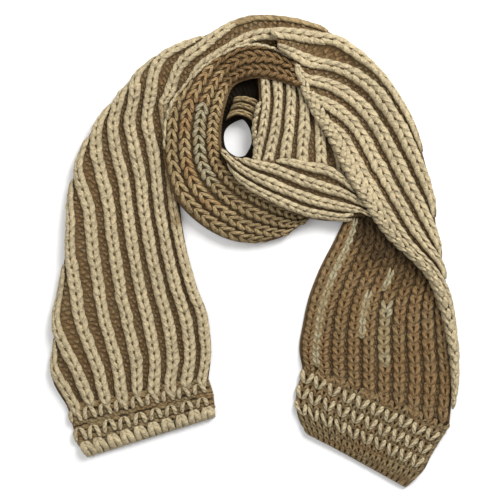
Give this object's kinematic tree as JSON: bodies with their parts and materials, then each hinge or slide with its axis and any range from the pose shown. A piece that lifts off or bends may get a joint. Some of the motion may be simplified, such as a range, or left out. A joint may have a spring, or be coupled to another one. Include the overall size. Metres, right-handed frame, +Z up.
{
  "type": "knit scarf",
  "caption": "Chunky two-colour ribbed knit scarf, coiled into a flat loop with both ends hanging down, shown as it lies on a surface.",
  "frame": {"origin": "centre of the bounding box, on the surface the scarf lies on", "axes": "+Z up out of the surface, +Y from the two ends towards the top of the loop, +X towards the end that shows its back"},
  "size_m": [0.4721, 0.5464, 0.0425],
  "materials": {
    "cream_yarn": "soft, slightly fuzzy cream wool-blend yarn",
    "brown_yarn": "soft, slightly fuzzy brown wool-blend yarn"
  },
  "bodies": {
    "root": {"left_end_edging": "cream_yarn", "left_end_band": "brown_yarn", "left_tail": "cream_yarn", "over_top": "cream_yarn", "right_sweep": "cream_yarn", "ring_band": "brown_yarn", "inner_ribs": "cream_yarn", "cross_band": "cream_yarn", "eye_fold": "brown_yarn", "loop_core": "brown_yarn", "right_tail": "brown_yarn", "right_end_band": "brown_yarn"}
  },
  "joints": []
}
